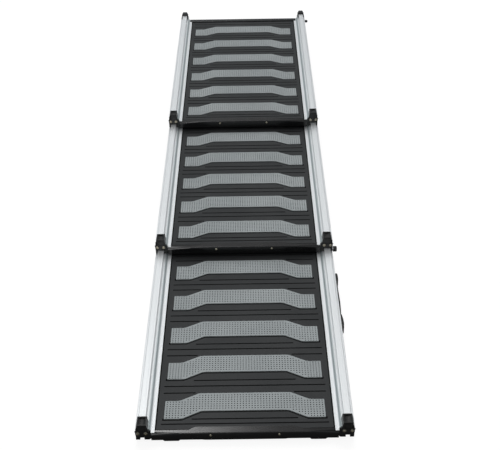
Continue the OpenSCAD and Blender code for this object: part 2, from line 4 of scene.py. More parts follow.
import bmesh
import bpy
import numpy as np
from mathutils import Matrix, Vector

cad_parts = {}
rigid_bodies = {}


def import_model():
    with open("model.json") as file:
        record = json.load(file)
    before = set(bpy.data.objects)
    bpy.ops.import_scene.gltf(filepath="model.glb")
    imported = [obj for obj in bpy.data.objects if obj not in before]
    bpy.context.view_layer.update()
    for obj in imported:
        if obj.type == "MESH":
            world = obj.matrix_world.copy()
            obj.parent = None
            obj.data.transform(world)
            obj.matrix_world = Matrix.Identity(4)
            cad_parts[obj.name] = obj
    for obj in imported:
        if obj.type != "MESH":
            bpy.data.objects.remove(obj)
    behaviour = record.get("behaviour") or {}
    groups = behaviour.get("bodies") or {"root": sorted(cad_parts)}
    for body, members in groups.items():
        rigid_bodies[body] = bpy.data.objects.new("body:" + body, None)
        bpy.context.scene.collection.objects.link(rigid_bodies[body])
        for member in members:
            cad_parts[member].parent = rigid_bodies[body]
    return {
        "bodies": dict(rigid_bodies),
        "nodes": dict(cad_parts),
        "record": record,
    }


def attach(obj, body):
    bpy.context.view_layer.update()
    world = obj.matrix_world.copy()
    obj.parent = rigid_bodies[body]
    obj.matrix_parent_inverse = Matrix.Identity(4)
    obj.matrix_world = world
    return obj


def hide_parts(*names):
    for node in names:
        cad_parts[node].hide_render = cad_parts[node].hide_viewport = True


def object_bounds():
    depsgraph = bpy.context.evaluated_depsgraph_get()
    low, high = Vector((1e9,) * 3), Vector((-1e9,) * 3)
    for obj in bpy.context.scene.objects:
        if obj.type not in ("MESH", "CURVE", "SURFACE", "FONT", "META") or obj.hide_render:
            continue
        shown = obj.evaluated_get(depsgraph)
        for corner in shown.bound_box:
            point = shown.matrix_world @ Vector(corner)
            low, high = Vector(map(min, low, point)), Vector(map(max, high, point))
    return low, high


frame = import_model()
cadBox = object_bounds()
mm = 0.001
sections = ["lower", "middle", "upper"]
slotOf = {part["node"]: part["material_slot"] for part in frame["record"]["subparts"]}
print("frame loaded:", len(frame["nodes"]), "nodes")

# ramp layout, in millimetres, as in the part's source; coveMiddle is measured in from the rail's outer face
layout = {
    "railSpan": 427, "length": 699, "step": 539.5, "rise": 27, "footDrop": 5, "deckTop": 20,
    "coveMiddle": 26.8,
}


def sectionOrigin(k):
    # low end of section k on the ramp's centre line, at the underside of its rails
    middle = (2 * layout["step"] + layout["length"]) / 2
    return np.array([0, k * layout["step"] - middle, layout["footDrop"] + k * layout["rise"]])


# small helpers, so that a material is a short list of calls
def addNode(tree, kind, props=None, **sockets):
    made = tree.nodes.new(kind)
    for key, value in (props or {}).items():
        setattr(made, key, value)
    for key, value in sockets.items():
        slot = made.inputs[int(key[1:])] if key[1:].isdigit() else made.inputs[key.replace("_", " ")]
        if isinstance(value, bpy.types.NodeSocket):
            tree.links.new(value, slot)
        else:
            slot.default_value = value
    return made


def maths(tree, operation, a, b=0.5, clamp=False):
    kind = {"operation": operation, "use_clamp": clamp}
    return addNode(tree, "ShaderNodeMath", kind, i0=a, i1=b).outputs[0]


def product(tree, a, b):
    return maths(tree, "MULTIPLY", a, b)


def remap(tree, value, low, high, toLow=0.0, toHigh=1.0):
    # straight line from (low, high) to (toLow, toHigh), clamped
    ends = {"From_Min": low, "From_Max": high, "To_Min": toLow, "To_Max": toHigh}
    return addNode(tree, "ShaderNodeMapRange", Value=value, **ends).outputs[0]


def mixColour(tree, factor, a, b):
    made = tree.nodes.new("ShaderNodeMix")
    made.data_type = "RGBA"
    for slot, value in ((made.inputs[0], factor), (made.inputs[6], a), (made.inputs[7], b)):
        if isinstance(value, bpy.types.NodeSocket):
            tree.links.new(value, slot)
        elif slot.type == "RGBA":
            slot.default_value = (*value, 1)
        else:
            slot.default_value = value
    return made.outputs[2]


def objectPoint(tree):
    return tree.nodes.new("ShaderNodeTexCoord").outputs["Object"]


def objectAxes(tree):
    return addNode(tree, "ShaderNodeSeparateXYZ", Vector=objectPoint(tree)).outputs


def noise(tree, point, scale, detail, roughness=0.5):
    levels = {"Scale": scale, "Detail": detail, "Roughness": roughness}
    return addNode(tree, "ShaderNodeTexNoise", Vector=point, **levels).outputs[0]


# shared effects, each a node group
number = "NodeSocketFloat"


def startGroup(name, inputs, outputs):
    tree = bpy.data.node_groups.new(name, "ShaderNodeTree")
    for label, value in inputs:
        tree.interface.new_socket(name=label, in_out="INPUT", socket_type=number).default_value = value
    for label in outputs:
        tree.interface.new_socket(name=label, in_out="OUTPUT", socket_type=number)
    return tree, tree.nodes.new("NodeGroupInput").outputs, tree.nodes.new("NodeGroupOutput").inputs


grainLook = {"cellSoftness": 0.6, "cellShare": 0.6, "tone": (0.32, 0.68), "grain": (0.3, 0.7)}


def makeMouldGrain():
    # fine moulded texture: cells of grain over slow waves of tone
    tree, given, out = startGroup(
        "mouldGrain", [("Grain Size", 900.0), ("Tone Size", 9.0)], ["Height", "Tone", "Grain"])
    point = objectPoint(tree)
    cells = addNode(
        tree, "ShaderNodeTexVoronoi", {"feature": "SMOOTH_F1"},
        Vector=point, Scale=given["Grain Size"], Smoothness=grainLook["cellSoftness"])
    speckle = noise(tree, point, given["Grain Size"], 3.0)
    waves = noise(tree, point, given["Tone Size"], 4.0, 0.6)
    cellPart = product(tree, cells.outputs["Distance"], grainLook["cellShare"])
    height = maths(tree, "ADD", cellPart, product(tree, speckle, 1 - grainLook["cellShare"]))
    tree.links.new(height, out["Height"])
    tree.links.new(remap(tree, waves, *grainLook["tone"]), out["Tone"])
    tree.links.new(remap(tree, speckle, *grainLook["grain"]), out["Grain"])
    return tree


# turn and stretch of the two sets of scratches, and the noise levels where marks begin and are full
marksLook = {
    "scratches": ((0.5, (1, 22, 6)), (-0.9, (19, 1, 5))), "scratch": (0.69, 0.74), "dust": (0.48, 0.75),
}


def makeHandlingMarks():
    # thin crossing scratches and soft dusty patches
    tree, given, out = startGroup(
        "handlingMarks", [("Scratch Size", 60.0), ("Dust Size", 7.0)], ["Scratches", "Dust"])
    lines = []
    for turn, stretch in marksLook["scratches"]:
        turned = {"Rotation": (0, 0, turn), "Scale": stretch}
        placed = addNode(tree, "ShaderNodeMapping", Vector=objectPoint(tree), **turned).outputs[0]
        lines.append(remap(tree, noise(tree, placed, given["Scratch Size"], 2.0), *marksLook["scratch"]))
    patches = noise(tree, objectPoint(tree), given["Dust Size"], 6.0, 0.65)
    tree.links.new(maths(tree, "MAXIMUM", *lines), out["Scratches"])
    tree.links.new(remap(tree, patches, *marksLook["dust"]), out["Dust"])
    return tree


drawnLook = {
    "fineShare": 0.6, "broadSize": 0.22, "cloudSize": 11.0, "lines": (0.38, 0.62), "cloud": (0.35, 0.7),
}


def makeDrawnLines():
    # marks left along the bar when the metal was drawn through its die
    tree, given, out = startGroup(
        "drawnLines", [("Line Size", 700.0), ("Run", 4.0)], ["Height", "Lines", "Cloud"])
    axes = objectAxes(tree)
    across = [product(tree, axes[i], given["Line Size"]) for i in (0, 2)]
    along = product(tree, axes[1], given["Run"])
    stretched = addNode(tree, "ShaderNodeCombineXYZ", X=across[0], Y=along, Z=across[1]).outputs[0]
    fine = noise(tree, stretched, 1.0, 4.0, 0.7)
    broad = noise(tree, stretched, drawnLook["broadSize"], 2.0)
    cloud = noise(tree, objectPoint(tree), drawnLook["cloudSize"], 5.0, 0.6)
    fineShare = drawnLook["fineShare"]
    lines = maths(tree, "ADD", product(tree, fine, fineShare), product(tree, broad, 1 - fineShare))
    tree.links.new(lines, out["Height"])
    tree.links.new(remap(tree, lines, *drawnLook["lines"]), out["Lines"])
    tree.links.new(remap(tree, cloud, *drawnLook["cloud"]), out["Cloud"])
    return tree


mouldGrain = makeMouldGrain()
handlingMarks = makeHandlingMarks()
drawnLines = makeDrawnLines()


def placeGroup(tree, group, **sockets):
    made = tree.nodes.new("ShaderNodeGroup")
    made.node_tree = group
    for key, value in sockets.items():
        made.inputs[key.replace("_", " ")].default_value = value
    return made.outputs


# finishes
def startMaterial(name, **shader):
    made = bpy.data.materials.new(name)
    made.use_nodes = True
    tree = made.node_tree
    surface = tree.nodes["Principled BSDF"]
    for key, value in shader.items():
        surface.inputs[key.replace("_", " ")].default_value = value
    return made, tree, surface.inputs


dustGain = {"plastic": 0.12, "metal": 0.06}


def setRoughness(tree, surface, value, dust, kind):
    # dust adds a little to a piece's own roughness; returned so that a mask can be laid over it
    rough = maths(tree, "ADD", value, product(tree, dust, dustGain[kind]), clamp=True)
    tree.links.new(rough, surface["Roughness"])
    return rough


def addBump(tree, surface, height, distance):
    raised = addNode(tree, "ShaderNodeBump", Height=height, Distance=distance, Strength=1.0).outputs[0]
    tree.links.new(raised, surface["Normal"])


# the band of painted shade, near black, that holds the groove floors and the lower part of their walls, in
# millimetres: how far below the deck's top it starts, and its height
grooveShadeBand = {"below": 0.25, "height": 3.24}


def grooveShadeMask(tree):
    # 1 in the band of painted shade just below each deck's top
    # the deck's top is at the same height above each section, so height repeats with the rise
    top = (layout["footDrop"] + layout["deckTop"] - grooveShadeBand["below"]) * mm
    above = maths(tree, "SUBTRACT", objectAxes(tree)[2], top)
    share = maths(tree, "FRACT", maths(tree, "DIVIDE", above, layout["rise"] * mm))
    return maths(tree, "GREATER_THAN", share, 1 - grooveShadeBand["height"] / layout["rise"])


def coveShadeMask(tree, reach):
    # painted shade: 1 along the middle of both coves, fading to 0 between the two reaches
    middle = (layout["railSpan"] / 2 - layout["coveMiddle"]) * mm
    out = maths(tree, "ABSOLUTE", objectAxes(tree)[0], 0)
    off = maths(tree, "ABSOLUTE", maths(tree, "SUBTRACT", out, middle), 0)
    return remap(tree, off, reach[0] * mm, reach[1] * mm, 1, 0)


def makePlastic(name, look):
    # moulded plastic or rubber: base tone, lighter waves, worn scratches, dust, grain in the bump
    made, tree, surface = startMaterial(name, Specular_IOR_Level=look["specular"])
    grain = placeGroup(tree, mouldGrain, Grain_Size=look["grainSize"], Tone_Size=look["toneSize"])
    marks = placeGroup(tree, handlingMarks, Scratch_Size=look["scratchSize"])
    base = mixColour(tree, grain["Tone"], look["dark"], look["light"])
    dusty = mixColour(tree, product(tree, marks["Dust"], look["dust"]), base, look["dustColour"])
    scratched = product(tree, marks["Scratches"], look["scratch"])
    colour = mixColour(tree, scratched, dusty, look["dustColour"])
    fine = remap(tree, grain["Grain"], 0, 1, *look["rough"])
    rough = setRoughness(tree, surface, fine, marks["Dust"], "plastic")
    # painted shade: the grooves and channels below the deck's top are painted near black and made fully rough
    if "grooveShadeColour" in look:
        groove = grooveShadeMask(tree)
        colour = mixColour(tree, groove, colour, look["grooveShadeColour"])
        tree.links.new(maths(tree, "MAXIMUM", rough, groove), surface["Roughness"])
    if "pitFloorAndShadeColour" in look:
        # the pits are painted dark towards their floors: at the floor this is the black deck seen through the
        # perforation, up the walls it is painted shade; the power keeps the pits' rims light
        pit = addNode(tree, "ShaderNodeAttribute", {"attribute_name": "pit"}).outputs["Fac"]
        colour = mixColour(tree, maths(tree, "POWER", pit, look["pitShadePower"]), colour, look["pitFloorAndShadeColour"])
    tree.links.new(colour, surface["Base Color"])
    addBump(tree, surface, grain["Height"], look["grainDepth"] * mm)
    return made


def makeMetal(name, look):
    # drawn or plated metal: fine lines along Y in tone, roughness and bump
    made, tree, surface = startMaterial(name, Metallic=look["metallic"], Specular_IOR_Level=0.5)
    drawn = placeGroup(tree, drawnLines, Line_Size=look["lineSize"], Run=look["run"])
    marks = placeGroup(tree, handlingMarks, Scratch_Size=look["scratchSize"])
    base = mixColour(tree, drawn["Lines"], look["dark"], look["light"])
    cloudy = mixColour(tree, product(tree, drawn["Cloud"], look["cloud"]), base, look["cloudColour"])
    scratched = product(tree, marks["Scratches"], look["scratch"])
    colour = mixColour(tree, scratched, cloudy, look["scratchColour"])
    if "coveShadeColour" in look:
        # painted shade: the middle of each cove, where the next section's lug runs, is painted a darker,
        # bluer grey that stands in for the shade in the cove
        colour = mixColour(tree, coveShadeMask(tree, look["coveShadeReach"]), colour, look["coveShadeColour"])
    tree.links.new(colour, surface["Base Color"])
    fine = remap(tree, drawn["Lines"], 0, 1, *look["rough"])
    setRoughness(tree, surface, fine, marks["Dust"], "metal")
    addBump(tree, surface, drawn["Height"], look["lineDepth"] * mm)
    return made


finishes = {
    "anodised_aluminium": makeMetal("anodisedAluminium", {
        "metallic": 0.5, "lineSize": 800, "run": 5, "lineDepth": 0.008, "rough": (0.36, 0.44),
        "dark": (0.81, 0.83, 0.84), "light": (0.88, 0.9, 0.905),
        "cloud": 0.15, "cloudColour": (0.78, 0.81, 0.83),
        "scratchSize": 45, "scratch": 0.15, "scratchColour": (0.98, 0.98, 0.98),
        # painted shade along the middle of each cove: how far it reaches, and its colour
        "coveShadeReach": (2.0, 3.4), "coveShadeColour": (0.47, 0.52, 0.53)}),
    "deck_plastic": makePlastic("deckPlastic", {
        "specular": 0.25, "rough": (0.38, 0.5), "grainSize": 900, "grainDepth": 0.12, "toneSize": 6,
        "dark": (0.021, 0.0225, 0.0235), "light": (0.029, 0.0305, 0.0315),
        # painted shade in the grooves and channels
        "grooveShadeColour": (0.003, 0.003, 0.003),
        "scratchSize": 40, "scratch": 0.12, "dust": 0.06, "dustColour": (0.12, 0.12, 0.118)}),
    "traction_rubber": makePlastic("tractionRubber", {
        "specular": 0.35, "rough": (0.6, 0.75), "grainSize": 1100, "grainDepth": 0.1, "toneSize": 8,
        "dark": (0.285, 0.308, 0.312), "light": (0.335, 0.36, 0.364),
        # pits: the deck's black at the floors, painted shade up the walls
        "pitShadePower": 1.6, "pitFloorAndShadeColour": (0.02, 0.022, 0.023),
        "scratchSize": 30, "scratch": 0.1, "dust": 0.12, "dustColour": (0.42, 0.43, 0.42)}),
    "block_plastic": makePlastic("blockPlastic", {
        "specular": 0.5, "rough": (0.26, 0.36), "grainSize": 1300, "grainDepth": 0.04, "toneSize": 25,
        "dark": (0.006, 0.006, 0.0059), "light": (0.012, 0.012, 0.0117),
        "scratchSize": 90, "scratch": 0.2, "dust": 0.03, "dustColour": (0.1, 0.1, 0.098)}),
    "bar_plastic": makePlastic("barPlastic", {
        "specular": 0.46, "rough": (0.14, 0.22), "grainSize": 1000, "grainDepth": 0.02, "toneSize": 12,
        "dark": (0.0045, 0.0045, 0.005), "light": (0.009, 0.009, 0.0095),
        "scratchSize": 55, "scratch": 0.18, "dust": 0.03, "dustColour": (0.1, 0.1, 0.098)}),
    "foot_rubber": makePlastic("footRubber", {
        "specular": 0.3, "rough": (0.6, 0.75), "grainSize": 1000, "grainDepth": 0.12, "toneSize": 20,
        "dark": (0.01, 0.01, 0.01), "light": (0.018, 0.018, 0.018),
        "scratchSize": 60, "scratch": 0.1, "dust": 0.2, "dustColour": (0.14, 0.13, 0.12)}),
    "strap_rubber": makePlastic("strapRubber", {
        "specular": 0.35, "rough": (0.5, 0.62), "grainSize": 1200, "grainDepth": 0.1, "toneSize": 18,
        "dark": (0.014, 0.014, 0.015), "light": (0.024, 0.024, 0.025),
        "scratchSize": 60, "scratch": 0.15, "dust": 0.1, "dustColour": (0.12, 0.12, 0.12)}),
    "zinc_screws": makeMetal("zincScrews", {
        "metallic": 1.0, "lineSize": 900, "run": 900, "lineDepth": 0.01, "rough": (0.22, 0.36),
        "dark": (0.36, 0.33, 0.26), "light": (0.52, 0.48, 0.38),
        "cloud": 0.3, "cloudColour": (0.4, 0.38, 0.32),
        "scratchSize": 300, "scratch": 0.3, "scratchColour": (0.9, 0.88, 0.82)}),
    "bright_steel": makeMetal("brightSteel", {
        "metallic": 1.0, "lineSize": 900, "run": 900, "lineDepth": 0.01, "rough": (0.16, 0.26),
        "dark": (0.55, 0.56, 0.57), "light": (0.7, 0.71, 0.72),
        "cloud": 0.2, "cloudColour": (0.5, 0.5, 0.5),
        "scratchSize": 200, "scratch": 0.2, "scratchColour": (0.85, 0.85, 0.85)}),
    "spring_steel": makeMetal("springSteel", {
        "metallic": 1.0, "lineSize": 1200, "run": 1200, "lineDepth": 0.01, "rough": (0.25, 0.36),
        "dark": (0.4, 0.41, 0.42), "light": (0.55, 0.56, 0.57),
        "cloud": 0.2, "cloudColour": (0.36, 0.36, 0.37),
        "scratchSize": 300, "scratch": 0.1, "scratchColour": (0.8, 0.8, 0.8)}),
}

for name, made in frame["nodes"].items():
    made.data.materials.clear()
    made.data.materials.append(finishes[slotOf[name]])
print("finishes made:", len(finishes), "for slots", sorted(set(slotOf.values())))


# mesh helpers: shapes are whole numpy arrays
def weld(points, faceGroups):
    # joins points that lie together, drops faces this leaves with under 3 corners, and makes triangles of the
    # four-sided ones that lose a corner
    _, first, index = np.unique(np.round(points, 4), axis=0, return_index=True, return_inverse=True)
    index = index.ravel()
    welded = []
    for group in faceGroups:
        faces = index[group]
        if faces.shape[1] > 4:
            welded.append(faces)
            continue
        joined = faces == np.roll(faces, -1, axis=1)
        welded.append(faces[joined.sum(1) == 0])
        if faces.shape[1] == 4:
            once = joined.sum(1) == 1
            welded.append(faces[once][~joined[once]].reshape(-1, 3))
    return points[first], [faces for faces in welded if len(faces)], index


def buildPiece(name, points, faceGroups, slot, body, replaced, attributes):
    # points in millimetres in the ramp's frame; a face group is an array with a row of corners for each face
    mesh = bpy.data.meshes.new(name)
    corners = np.concatenate([group.ravel() for group in faceGroups]).astype(np.int32)
    totals = np.concatenate([np.full(len(group), group.shape[1]) for group in faceGroups])
    starts = np.concatenate([[0], np.cumsum(totals)[:-1]]).astype(np.int32)
    mesh.vertices.add(len(points))
    mesh.vertices.foreach_set("co", (points * mm).astype(np.float32).ravel())
    mesh.loops.add(len(corners))
    mesh.loops.foreach_set("vertex_index", corners)
    mesh.polygons.add(len(totals))
    mesh.polygons.foreach_set("loop_start", starts)
    mesh.polygons.foreach_set("use_smooth", np.full(len(totals), False))
    mesh.update(calc_edges=True)
    mesh.validate()
    for label, values in attributes.items():
        mesh.attributes.new(label, "FLOAT", "POINT").data.foreach_set("value", values.astype(np.float32))
    made = bpy.data.objects.new(name, mesh)
    bpy.context.scene.collection.objects.link(made)
    mesh.materials.append(finishes[slot])
    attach(made, body)
    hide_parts(replaced)
    return made


# traction pads: bracket outline, square grid of pits, rim turned down to the deck
# margin is how far a pit's cell may reach past the rim; past has lines beyond the pad's low and high edges
padShape = {
    "count": 6, "first": 54.1, "pitch": 104.4, "half": 160, "depth": 46.35, "shift": 19.4, "past": (-40, 90),
    "topKnees": (92.5, 131.5), "lowKnees": (86.4, 124.7), "top": 20.65, "low": 18.35,
    "rim": 0.5, "margin": 0.5,
    "pitX": 5.86, "pitY": 5.7, "pitRows": 11, "firstPit": (-155.3, -16.5),
    "pitRadius": 1.35, "pitTaper": 0.85, "pitDepth": 1.9,
}


def bracketEdge(x, knees, y):
    # height of the bracket's edge at x: level in the middle, set back past the outer knee
    return y - padShape["shift"] * np.clip((np.abs(x) - knees[0]) / (knees[1] - knees[0]), 0, 1)


def cellLines(first, pitch, count):
    # lines half a pitch either side of each of the pits
    return first + pitch * (np.arange(count + 1) - 0.5)


def padGrid(inset):
    # corners of the pits' cells, each held at its own x between the bracket's low and high edge
    p = padShape
    columns = int(round(-2 * p["firstPit"][0] / p["pitX"])) + 1
    inner = cellLines(p["firstPit"][0], p["pitX"], columns)
    x = np.concatenate([[inset - p["half"]], inner, [p["half"] - inset]])
    inner = cellLines(p["firstPit"][1], p["pitY"], p["pitRows"])
    y = np.concatenate([p["past"][:1], inner, p["past"][1:]])
    low = bracketEdge(x, p["lowKnees"], 0) + inset
    high = bracketEdge(x, p["topKnees"], p["depth"]) - inset
    grid = np.clip(y[None, :], low[:, None], high[:, None])
    free = (y[None, :] > low[:, None] - p["margin"]) & (y[None, :] < high[:, None] + p["margin"])
    return np.stack([np.repeat(x[:, None], len(y), 1), grid], -1), free


# a pit's eight-sided ring starts on its cell's right side and is joined to the cell's four corners, by a
# four-sided face along each side (cell, cell, ring, ring) and a triangle in each corner (cell, ring, ring)
pitJoins = {
    "sides": [[1, 2, 0, 7], [2, 3, 2, 1], [3, 0, 4, 3], [0, 1, 6, 5]],
    "corners": [[2, 1, 0], [3, 3, 2], [0, 5, 4], [1, 7, 6]],
}


def onePad():
    # the grid at the pad's top, with an open ring, a tapered wall and a floor in each whole cell
    p = padShape
    grid, free = padGrid(p["rim"])
    nx, ny = grid.shape[:2]
    index = np.arange(nx * ny).reshape(nx, ny)
    cells = np.stack([index[:-1, :-1], index[1:, :-1], index[1:, 1:], index[:-1, 1:]], -1).reshape(-1, 4)
    holed = free[:-1, :-1] & free[1:, :-1] & free[1:, 1:] & free[:-1, 1:]
    holed[0], holed[-1] = False, False
    holed = holed.ravel()
    flat = np.concatenate([grid.reshape(-1, 2), np.full((nx * ny, 1), p["top"])], 1)
    pitCells = cells[holed]
    centre = flat[pitCells].mean(1)
    turn = np.radians(22.5 + 45 * np.arange(8))
    ring = np.stack([np.cos(turn), np.sin(turn), np.zeros(8)], -1)
    topRing = centre[:, None] + p["pitRadius"] * ring
    lowRing = centre[:, None] + p["pitTaper"] * p["pitRadius"] * ring - [0, 0, p["pitDepth"]]
    n = len(pitCells)
    topIndex = nx * ny + np.arange(n * 8).reshape(n, 8)
    lowIndex = topIndex + n * 8
    around = [
        np.stack([pitCells[:, a], pitCells[:, b], topIndex[:, c], topIndex[:, d]], -1)
        for a, b, c, d in pitJoins["sides"]
    ]
    wedges = [
        np.stack([pitCells[:, a], topIndex[:, b], topIndex[:, c]], -1)
        for a, b, c in pitJoins["corners"]
    ]
    after = np.roll(topIndex, -1, 1)
    walls = np.stack([topIndex, after, np.roll(lowIndex, -1, 1), lowIndex], -1).reshape(-1, 4)
    # rim: the grid's border, its full outline just below, and the foot of the wall
    border = np.concatenate([index[:-1, 0], index[-1, :-1], index[:0:-1, -1], index[0, :0:-1]])
    full = padGrid(0)[0].reshape(-1, 2)[border]
    rimPoints = np.concatenate([full, np.full((len(full), 1), p["top"] - p["rim"])], 1)
    footPoints = np.concatenate([full, np.full((len(full), 1), p["low"])], 1)
    rimIndex = nx * ny + n * 16 + np.arange(len(border))
    footIndex = rimIndex + len(border)
    strips = [
        np.stack([a, b, np.roll(b, -1), np.roll(a, -1)], -1)
        for a, b in ((border, rimIndex), (rimIndex, footIndex))
    ]
    points = np.concatenate([flat, topRing.reshape(-1, 3), lowRing.reshape(-1, 3), rimPoints, footPoints])
    pit = np.zeros(len(points))
    pit[nx * ny + n * 8:nx * ny + n * 16] = 1
    groups = [cells[~holed], *around, *wedges, walls, lowIndex, *strips]
    welded, faces, moved = weld(points, groups)
    value = np.zeros(len(welded))
    value[moved] = pit
    foot = moved[footIndex]
    foot = foot[foot != np.roll(foot, 1)][::-1]
    return welded, faces + [foot[None, :]], value


padPoints, padFaces, padPit = onePad()


def padStarts(first):
    # low ends of as many pads as a deck has, the first of them so many pitches up the deck
    return padShape["first"] + padShape["pitch"] * (first + np.arange(padShape["count"]))


def makePads(k):
    starts = padStarts(0)
    points = np.concatenate([padPoints + [0, start, 0] for start in starts]) + sectionOrigin(k)
    groups = [np.concatenate([faces + len(padPoints) * i for i in range(len(starts))]) for faces in padFaces]
    name = sections[k] + "_traction_pads"
    pits = {"pit": np.tile(padPit, len(starts))}
    body = sections[k] + "_section"
    return buildPiece(name + "_perforated", points, groups, slotOf[name], body, name, pits)


for k in range(3):
    made = makePads(k)
    print("pads:", made.name, len(made.data.polygons), "faces")


# moulded parts: the solid's own shape, trimmed where listed, with its edges rounded
# a trim works on points in its section's frame, in millimetres: x across, y up the ramp, v up from the rails
toeScrew = {"x": 67, "v": 15.6, "reach": 2.9, "length": 16, "drop": 3.2}
toeBar = {
    "edgeBelow": 3, "edgeDrop": 3.3, "chamferFrom": 180, "chamferDepth": 3, "chamferV": (8.5, 12),
    "chamferRise": 3.2, "backRise": 0.5, "backFrom": 1.5,
}


def lowerScrews(points):
    # the toe bar's screws and the holes they pass through sit lower
    s = toeScrew
    off = np.hypot(np.abs(points[:, 0]) - s["x"], points[:, 2] - s["v"])
    points[(off < s["reach"]) & (points[:, 1] < s["length"]), 2] -= s["drop"]


def trimToeBar(points):
    # the lower edge hangs further down, to just above the pads of the section below
    t = toeBar
    lowerScrews(points)
    points[points[:, 2] < t["edgeBelow"], 2] -= t["edgeDrop"]
    # the chamfer at each end is flatter, so that it faces up
    x, y, v = np.abs(points[:, 0]), points[:, 1], points[:, 2]
    low, high = t["chamferV"]
    chamfer = (x > t["chamferFrom"]) & (y < t["chamferDepth"]) & (v > low) & (v < high)
    points[chamfer, 2] += t["chamferRise"] + t["backRise"] * (y[chamfer] > t["backFrom"])


# the deck's grooves: half lengths of the long and short ones, where the ones at the ends only begin, and how
# far each lies before the next pad; byToe has the two by the toe bar and how far each moves from there; only
# floors clear of the deck's two ends are deepened
grooves = {
    "long": 168, "short": 106, "endsFrom": 98, "reach": 1.1, "widen": 1.4, "deep": 2.3, "solidDeep": 1,
    "longBefore": 38.5, "shortBefore": 23, "endsBefore": 56.5, "byToe": ((23.5, -1.5), (35, -1)),
    "clearLow": 18, "clearHigh": 40, "match": 0.1,
}
# the channel round each pad: how far its low wall lies before the pad, and what it gains
channels = {"before": 3.1, "widen": 0.8, "deep": 2.5, "solidDeep": 1.5}


def trimDeck(points):
    # grooves and pad channels cut as deep as the skin allows, and a little wider: a groove's walls move away
    # from its middle in proportion, a channel's low wall moves down the ramp
    g, c = grooves, channels
    x, y, depth = np.abs(points[:, 0]), points[:, 1], layout["deckTop"] - points[:, 2]
    nextPads = padStarts(1)
    long, short, ends = x < g["long"], x < g["short"], (x > g["endsFrom"]) & (x < g["long"])
    (longToe, longShift), (shortToe, shortShift) = g["byToe"]
    for middles, along, shift in (
        (np.array([longToe]), long, longShift), (np.array([shortToe]), short, shortShift),
        (nextPads - g["longBefore"], long, 0), (nextPads - g["shortBefore"], short, 0),
        (nextPads - g["endsBefore"], ends, 0),
    ):
        off = y[:, None] - middles
        nearest = np.take_along_axis(off, np.abs(off).argmin(1)[:, None], 1)[:, 0]
        moved = along & (np.abs(nearest) < g["reach"])
        y[moved] += (g["widen"] - 1) * nearest[moved] + shift
    for before in (c["before"], c["before"] + padShape["shift"]):
        off = y[:, None] - (padStarts(0) - before)
        y[(np.abs(off).min(1) < g["match"]) & long] -= c["widen"]
    inside = long & (y > g["clearLow"]) & (y < layout["length"] - g["clearHigh"])
    for cut in (g, c):
        floors = inside & (np.abs(depth - cut["solidDeep"]) < g["match"])
        points[floors, 2] = layout["deckTop"] - cut["deep"]


# u is measured in from the rail's outer face
block = {
    "legTop": 13, "legFrom": (0.6, 1.6), "legFace": 0.2, "lugBottom": 22, "lugFront": 5.2, "lugEnd": 24.9,
    "bossFrom": -1, "bossTip": -1.1, "upperBossBottom": 27, "upperBossFrom": 0.6, "upperBossTip": 1.0,
}


def trimSliderBlock(points):
    # legs out to the rail's face, the lug in the cove cut back, the side bosses made shallower
    b = block
    side = np.sign(points[:, 0])
    u, y, v = layout["railSpan"] / 2 - np.abs(points[:, 0]), points[:, 1], points[:, 2]
    u = np.where((v < b["legTop"]) & (u > b["legFrom"][0]) & (u < b["legFrom"][1]), b["legFace"], u)
    u = np.where((v > b["lugBottom"]) & (y > b["lugFront"]), np.minimum(u, b["lugEnd"]), u)
    u = np.where(u < b["bossFrom"], b["bossTip"], u)
    u = np.where((v > b["upperBossBottom"]) & (u < b["upperBossFrom"]), b["upperBossTip"], u)
    points[:, 0] = side * (layout["railSpan"] / 2 - u)


# each kind of moulded part, as its name ends, with its trim and the width in millimetres of its rounded edges
moulded = {
    "deck": {"trim": trimDeck},
    "toe_bar_screws": {"trim": lowerScrews},
    "slider_block": {"width": 0.9, "segments": 3, "trim": trimSliderBlock},
    "toe_bar": {"width": 0.5, "segments": 2, "trim": trimToeBar},
    "head_bar": {"width": 0.5, "segments": 2},
    "rail_cap": {"width": 0.7, "segments": 3},
    "handle_end_caps": {"width": 0.6, "segments": 3},
    "handle_strap": {"width": 0.5, "segments": 2},
    "lock_knob": {"width": 0.35, "segments": 2},
    "tether_peg": {"width": 0.4, "segments": 2},
    "feet": {"width": 0.6, "segments": 2},
    "rest_pads": {"width": 0.6, "segments": 2},
}
cleanUp = {"mergeDistance": 0.01, "flatAngle": 3, "roundedAngle": 28}


def trimCopy(mesh, name, trim):
    # moves the copy's points as the trim says, in the frame of the section that the part belongs to
    origin = sectionOrigin(sections.index(name.split("_")[0]))
    points = np.empty(len(mesh.vertices) * 3, np.float32)
    mesh.vertices.foreach_get("co", points)
    points = points.reshape(-1, 3).astype(float) / mm - origin
    trim(points)
    mesh.vertices.foreach_set("co", ((points + origin) * mm).astype(np.float32).ravel())


def roundEdges(name, look):
    solid = frame["nodes"][name]
    mesh = solid.data.copy()
    made = bpy.data.objects.new(name + "_moulded", mesh)
    bpy.context.scene.collection.objects.link(made)
    if "trim" in look:
        trimCopy(mesh, name, look["trim"])
    work = bmesh.new()
    work.from_mesh(mesh)
    bmesh.ops.remove_doubles(work, verts=work.verts, dist=cleanUp["mergeDistance"] * mm)
    flat = math.radians(cleanUp["flatAngle"])
    bmesh.ops.dissolve_limit(work, angle_limit=flat, verts=work.verts, edges=work.edges)
    work.to_mesh(mesh)
    work.free()
    if "width" in look:
        edge = made.modifiers.new("edge", "BEVEL")
        edge.width = look["width"] * mm
        edge.segments = look["segments"]
        edge.limit_method = "ANGLE"
        edge.angle_limit = math.radians(cleanUp["roundedAngle"])
        mesh.polygons.foreach_set("use_smooth", np.full(len(mesh.polygons), True))
        made.modifiers.new("normals", "WEIGHTED_NORMAL")
    body = next(body for body, empty in frame["bodies"].items() if solid in list(empty.children))
    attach(made, body)
    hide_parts(name)


for name in list(frame["nodes"]):
    kind = name.removesuffix("_left").removesuffix("_right")
    look = next((moulded[ending] for ending in moulded if kind.endswith(ending)), None)
    if look:
        roundEdges(name, look)
print("moulded parts rounded")

